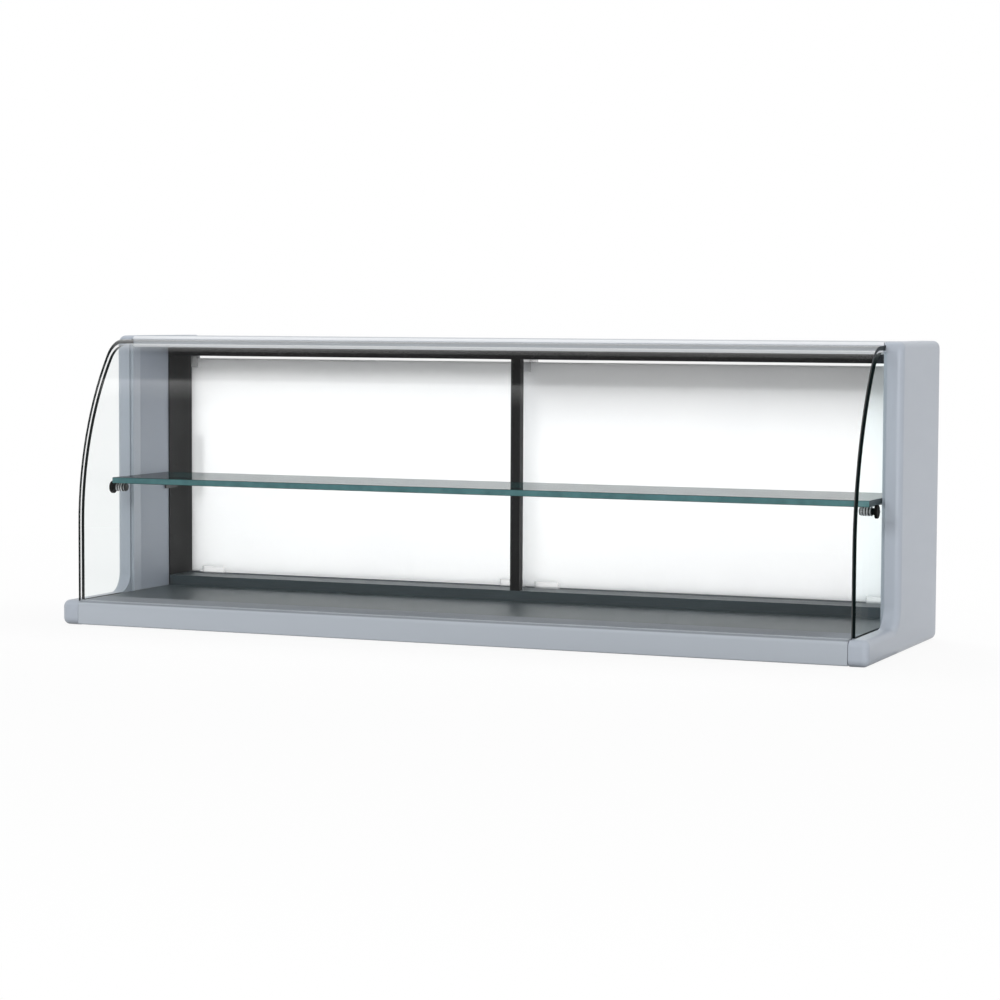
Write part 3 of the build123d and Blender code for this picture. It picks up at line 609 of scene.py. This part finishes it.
def screw_turns(tree):
    """Each screw's rotation: along its own axis, and turned in by chance."""
    link = tree.links.new
    axis = tree.nodes.new("GeometryNodeInputNamedAttribute")
    axis.data_type = "FLOAT_VECTOR"
    axis.inputs["Name"].default_value = "axis"
    align = tree.nodes.new("FunctionNodeAlignRotationToVector")
    align.axis = "Z"
    link(axis.outputs["Attribute"], align.inputs["Vector"])
    chance = tree.nodes.new("FunctionNodeRandomValue")
    chance.data_type = "FLOAT"
    limits = [socket for socket in chance.inputs if socket.type == "VALUE" and socket.enabled]
    limits[0].default_value, limits[1].default_value = 0.0, pi / 2
    chance.inputs["Seed"].default_value = TURN_SEED
    spin = tree.nodes.new("FunctionNodeAxisAngleToRotation")
    spin.inputs["Axis"].default_value = Z_WAY
    link([socket for socket in chance.outputs if socket.enabled][0], spin.inputs["Angle"])
    turned = tree.nodes.new("FunctionNodeRotateRotation")
    turned.rotation_space = "LOCAL"
    link(align.outputs["Rotation"], turned.inputs["Rotation"])
    link(spin.outputs["Rotation"], turned.inputs["Rotate By"])
    return turned.outputs["Rotation"]


def screw_tree():
    """Cross-recessed screws on points."""
    tree = bpy.data.node_groups.new("screw_rows", "GeometryNodeTree")
    tree.interface.new_socket("Geometry", in_out="INPUT", socket_type="NodeSocketGeometry")
    for label in ("Face Radius", "Seat Radius", "Head Depth", "Shank Radius", "Shank Length", "Drive Width"):
        tree.interface.new_socket(label, in_out="INPUT", socket_type="NodeSocketFloat")
    tree.interface.new_socket("Finish", in_out="INPUT", socket_type="NodeSocketMaterial")
    tree.interface.new_socket("Geometry", in_out="OUTPUT", socket_type="NodeSocketGeometry")
    inlet, outlet = tree.nodes.new("NodeGroupInput"), tree.nodes.new("NodeGroupOutput")
    link = tree.links.new

    rows = tree.nodes.new("GeometryNodeInstanceOnPoints")
    link(inlet.outputs["Geometry"], rows.inputs["Points"])
    link(screw_shape(tree, inlet), rows.inputs["Instance"])
    link(screw_turns(tree), rows.inputs["Rotation"])
    solid = tree.nodes.new("GeometryNodeRealizeInstances")
    link(rows.outputs["Instances"], solid.inputs["Geometry"])
    paint = tree.nodes.new("GeometryNodeSetMaterial")
    link(solid.outputs["Geometry"], paint.inputs["Geometry"])
    link(inlet.outputs["Finish"], paint.inputs["Material"])
    link(paint.outputs["Geometry"], outlet.inputs["Geometry"])
    return tree


SCREWS = screw_tree()


def loose_parts(node):
    """The vertex places of each loose part of a node's mesh."""
    shape = bmesh.new()
    shape.from_mesh(node.data)
    bmesh.ops.remove_doubles(shape, verts=shape.verts, dist=1e-6)
    left = set(shape.verts)
    parts = []
    while left:
        part, edge = set(), [left.pop()]
        while edge:
            vert = edge.pop()
            part.add(vert)
            others = {link.other_vert(vert) for link in vert.link_edges} & left
            left -= others
            edge.extend(others)
        parts.append([vert.co.copy() for vert in part])
    shape.free()
    return parts


def screw_seats(node, head_depth):
    """Head seat and outward direction of every screw in a CAD node."""
    seats = []
    for spots in loose_parts(node):
        low = Vector([min(spot[i] for spot in spots) for i in range(3)])
        high = Vector([max(spot[i] for spot in spots) for i in range(3)])
        middle, extent = (low + high) / 2, high - low
        way = max(range(3), key=lambda i: extent[i])
        around = [i for i in range(3) if i != way]
        in_head = [
            spot[way] - middle[way]
            for spot in spots
            if sum((spot[i] - middle[i]) ** 2 for i in around) > (1.2 * SHANK_RADIUS) ** 2
        ]
        sign = 1 if sum(in_head) > 0 else -1
        seat = middle.copy()
        seat[way] += sign * (extent[way] / 2 - head_depth)
        out = Vector((0, 0, 0))
        out[way] = sign
        seats.append((seat, out))
    return sorted(seats, key=lambda pair: tuple(pair[0]))


def screw_row(name, node_name, slot_name, finish, face, seat_radius, head_depth):
    """A row of screws that stands for a CAD node's plain ones."""
    seats = screw_seats(nodes[node_name], head_depth)
    mesh = bpy.data.meshes.new(name + "_points")
    mesh.from_pydata([tuple(seat) for seat, _ in seats], [], [])
    axis = mesh.attributes.new("axis", "FLOAT_VECTOR", "POINT")
    for index, (_, out) in enumerate(seats):
        axis.data[index].vector = out
    row = add_object(name, mesh)
    modifier = row.modifiers.new("screws", "NODES")
    modifier.node_group = SCREWS
    values = {
        "Face Radius": face,
        "Seat Radius": seat_radius,
        "Head Depth": head_depth,
        "Shank Radius": SHANK_RADIUS,
        "Shank Length": SCREW_LENGTH - (head_depth if face > seat_radius else 0),
        "Drive Width": DRIVE_WIDTH,
        "Finish": finish,
    }
    for item in SCREWS.interface.items_tree:
        if item.in_out == "INPUT" and item.name in values:
            modifier[item.identifier] = values[item.name]
    graph = bpy.context.evaluated_depsgraph_get()
    result = bpy.data.meshes.new_from_object(row.evaluated_get(graph))
    row.modifiers.remove(modifier)
    row.data = result
    row.data.materials.clear()
    row.data.materials.append(finish)
    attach(row, "case")
    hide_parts(node_name)


screw_row("base_pan_screws", "base_screws", "zinc_screws", zinc_plate, *PAN_HEAD)
screw_row("ledge_pan_screws", "ledge_screws", "zinc_screws", zinc_plate, *PAN_HEAD)
screw_row("top_pan_screws", "top_screws", "zinc_screws", zinc_plate, *PAN_HEAD)
screw_row("jamb_flat_screws", "jamb_screws", "black_screws", black_screw, *FLAT_HEAD)
screw_row("bracket_pan_screws", "bracket_screws", "black_screws", black_screw, *PAN_HEAD)


# Studio: pale floor, soft lamps, white surroundings that are dimmer in front of the case
FRONT_GLOSS = 0.16
SIDE_GLOSS = 0.8
KEY_GLOSS = 2.7
KEY_START, KEY_END = (0, 12), (42, 54)  # degrees to the right of the front, where it rises and falls
SKY_GLOSS = [  # degrees from the front, over the case, to the rear, and the level there
    (0, FRONT_GLOSS),
    (51, FRONT_GLOSS),
    (60.5, 1.1),
    (61.5, 0.12),
    (99, 0.12),
    (107, 0.75),
    (180, 0.8),
]
SKY_SCALE = 2.0  # keeps the levels of the colour ramp under 1
KEY_HEIGHT = (0.08, 0.26)  # of a direction's Z, where the key fades out upwards
LEFT_SIDE, RIGHT_SIDE = (-0.6, -0.85), (0.88, 0.97)  # of a direction's X, where the lighter sides start
FRONT_LIGHT, REAR_LIGHT = 0.68, 0.15
LIGHT_TURN = (80, 140)  # degrees over the case, where the front's light gives way to the rear's
FLOOR_REACH = 12.0
FLOOR_COLOUR = (0.4, 0.4, 0.4, 1)
FLOOR_FADE = (0.9, 2.2)  # metres from the middle, where the floor fades to white
FLOOR_WHITE = 0.92  # its white share before that
FLOOR_DIM = (-0.5, 0.0)  # along Y, where gloss sees the floor turn from dim to white
NEAR_FLOOR, NEAR_GLOSS = (1.0, 2.0), 0.5  # metres from the middle, and how dim gloss sees it before them
KEY_PLACE, KEY_REACH = 0.6, (1.6, 2.2)  # the key's middle along X, and metres where the floor shows it
SIDE_TURN = (60, 80)  # degrees to either side of the front, where the lighter sides start
WHITE = (1, 1, 1, 1)


def seen_by_eye(tree):
    """Light Path's share of rays that show what is behind, and whether a gloss turned them."""
    path = tree.nodes.new("ShaderNodeLightPath")
    seen = add_math(tree, "MAXIMUM", path.outputs["Is Camera Ray"], path.outputs["Is Glossy Ray"])
    sharp = add_math(tree, "SUBTRACT", 1.0, path.outputs["Is Diffuse Ray"])
    sharp = add_math(tree, "MULTIPLY", sharp, path.outputs["Is Transmission Ray"])
    seen = add_math(tree, "MAXIMUM", seen, sharp)
    turned = add_math(tree, "MINIMUM", path.outputs["Glossy Depth"], 1.0)
    return seen, turned


def key_share(tree, turn):
    """The bright softbox that gloss sees at the right of the front, by how far a ray has turned."""
    rise = add_range(tree, turn, *map(radians, KEY_START), 0.0, 1.0)
    fall = add_range(tree, turn, *map(radians, KEY_END), KEY_GLOSS, 0.0)
    return add_math(tree, "MULTIPLY", rise, fall)


def plain_floor():
    """A wide pale floor that fades to white and keeps a soft shadow."""
    mesh = bpy.data.meshes.new("floor")
    corners = [(-1, -1), (1, -1), (1, 1), (-1, 1)]
    mesh.from_pydata([(x * FLOOR_REACH, y * FLOOR_REACH, 0) for x, y in corners], [], [(0, 1, 2, 3)])
    floor = add_object("floor", mesh)
    material, tree, shader = new_material("floor_white")
    feed_all(tree, shader, {"Base Color": FLOOR_COLOUR, "Roughness": 0.9, "Specular IOR Level": 0.0})
    place = object_place(tree)
    reach = add_vector_math(tree, "LENGTH", {0: place})["Value"]
    x, y, _ = axis_values(tree, place)

    level = add_range(tree, y, *FLOOR_DIM, FRONT_GLOSS, 1.0)
    level = add_math(tree, "MULTIPLY", level, add_range(tree, reach, *NEAR_FLOOR, NEAR_GLOSS, 1.0))
    aside = add_math(tree, "SUBTRACT", x, KEY_PLACE)
    turn = add_math(tree, "ARCTAN2", aside, add_math(tree, "MULTIPLY", y, -1.0))
    far = add_range(tree, reach, *KEY_REACH, 0.0, 1.0)
    level = add_math(tree, "MULTIPLY_ADD", key_share(tree, turn), far, level)
    side = add_range(tree, add_math(tree, "ABSOLUTE", turn), *map(radians, SIDE_TURN), 0.0, 1.0)
    level = blend_levels(tree, side, level, SIDE_GLOSS)
    seen, turned = seen_by_eye(tree)
    white = tree.nodes.new("ShaderNodeEmission")
    feed_all(tree, white, {"Color": WHITE, "Strength": blend_levels(tree, turned, 1.0, level)})
    fade = add_range(tree, reach, *FLOOR_FADE, FLOOR_WHITE, 1.0)
    share = add_math(tree, "MULTIPLY", seen, fade)
    show(tree, mix_shaders(tree, share, shader.outputs["BSDF"], white.outputs["Emission"]))
    mesh.materials.append(material)


def white_world():
    """White where the eye looks at it; gloss sees a dim front, one softbox above it and a white rear."""
    world = bpy.data.worlds.new("studio_white")
    bpy.context.scene.world = world
    world.use_nodes = True
    tree = world.node_tree
    x, y, z = axis_values(tree, tree.nodes.new("ShaderNodeTexCoord").outputs["Generated"])
    forward = add_math(tree, "MULTIPLY", y, -1.0)
    climb = add_math(tree, "ARCTAN2", add_math(tree, "MAXIMUM", z, 0.0), forward)
    ramp = tree.nodes.new("ShaderNodeValToRGB")
    ramp.color_ramp.interpolation = "LINEAR"
    elements = ramp.color_ramp.elements
    while len(elements) > 1:
        elements.remove(elements[-1])
    for index, (degrees, level) in enumerate(SKY_GLOSS):
        element = elements[0] if index == 0 else elements.new(degrees / 180)
        element.position = degrees / 180
        element.color = (level / SKY_SCALE,) * 3 + (1,)
    tree.links.new(add_math(tree, "DIVIDE", climb, pi), ramp.inputs["Fac"])
    gloss = add_math(tree, "MULTIPLY", ramp.outputs["Color"], SKY_SCALE)
    low = add_range(tree, z, *KEY_HEIGHT, 1.0, 0.0)
    key = add_math(tree, "MULTIPLY", key_share(tree, add_math(tree, "ARCTAN2", x, forward)), low)
    gloss = add_math(tree, "ADD", gloss, key)
    left = add_range(tree, x, *LEFT_SIDE, 0.0, 1.0)
    right = add_range(tree, x, *RIGHT_SIDE, 0.0, 1.0)
    gloss = blend_levels(tree, add_math(tree, "MAXIMUM", left, right), gloss, SIDE_GLOSS)
    seen, turned = seen_by_eye(tree)
    shown = blend_levels(tree, turned, 1.0, gloss)
    light = add_range(tree, climb, *map(radians, LIGHT_TURN), FRONT_LIGHT, REAR_LIGHT)
    strength = blend_levels(tree, seen, light, shown)
    feed_all(tree, tree.nodes["Background"], {"Color": WHITE, "Strength": strength})


def soft_lamp(name, place, target, size, power):
    """A rectangular softbox that looks at a point and doesn't show in gloss."""
    data = bpy.data.lights.new(name, "AREA")
    data.shape = "RECTANGLE"
    data.size, data.size_y = size
    data.energy = power
    data.cycles.use_multiple_importance_sampling = False
    lamp = add_object(name, data)
    lamp.location = place
    lamp.rotation_euler = (Vector(target) - Vector(place)).to_track_quat("-Z", "Y").to_euler()
    lamp.visible_camera = False
    lamp.visible_glossy = False
    lamp.visible_transmission = False
    return lamp


def flag_off(lamp, names):
    """Keeps a lamp's light off these nodes, as a flag beside a softbox does."""
    flagged = bpy.data.collections.new(lamp.name + "_flag")
    for name in names:
        flagged.objects.link(nodes[name])
    lamp.light_linking.receiver_collection = flagged
    for member in flagged.collection_objects:
        member.light_linking.link_state = "EXCLUDE"


photo_camera()
plain_floor()
white_world()
REAR_BOX = ((0, 1.25, 2.6), (0, 0.2, 0.2), (3.4, 1.0))
soft_lamp("front_softbox", (-0.4, -3.6, 1.9), (0, 0, 0.25), (2.2, 1.4), 72)
soft_lamp("right_fill", (3.6, -1.2, 0.4), (0.5, 0, 0.1), (1.6, 0.7), 31)
soft_lamp("rear_softbox", *REAR_BOX, 55)
door_softbox = soft_lamp("door_softbox", *REAR_BOX, 125)
flag_off(door_softbox, ("top_panel", "top_nose", "end_cap_left", "end_cap_right"))
bpy.context.scene.view_settings.view_transform = "Standard"
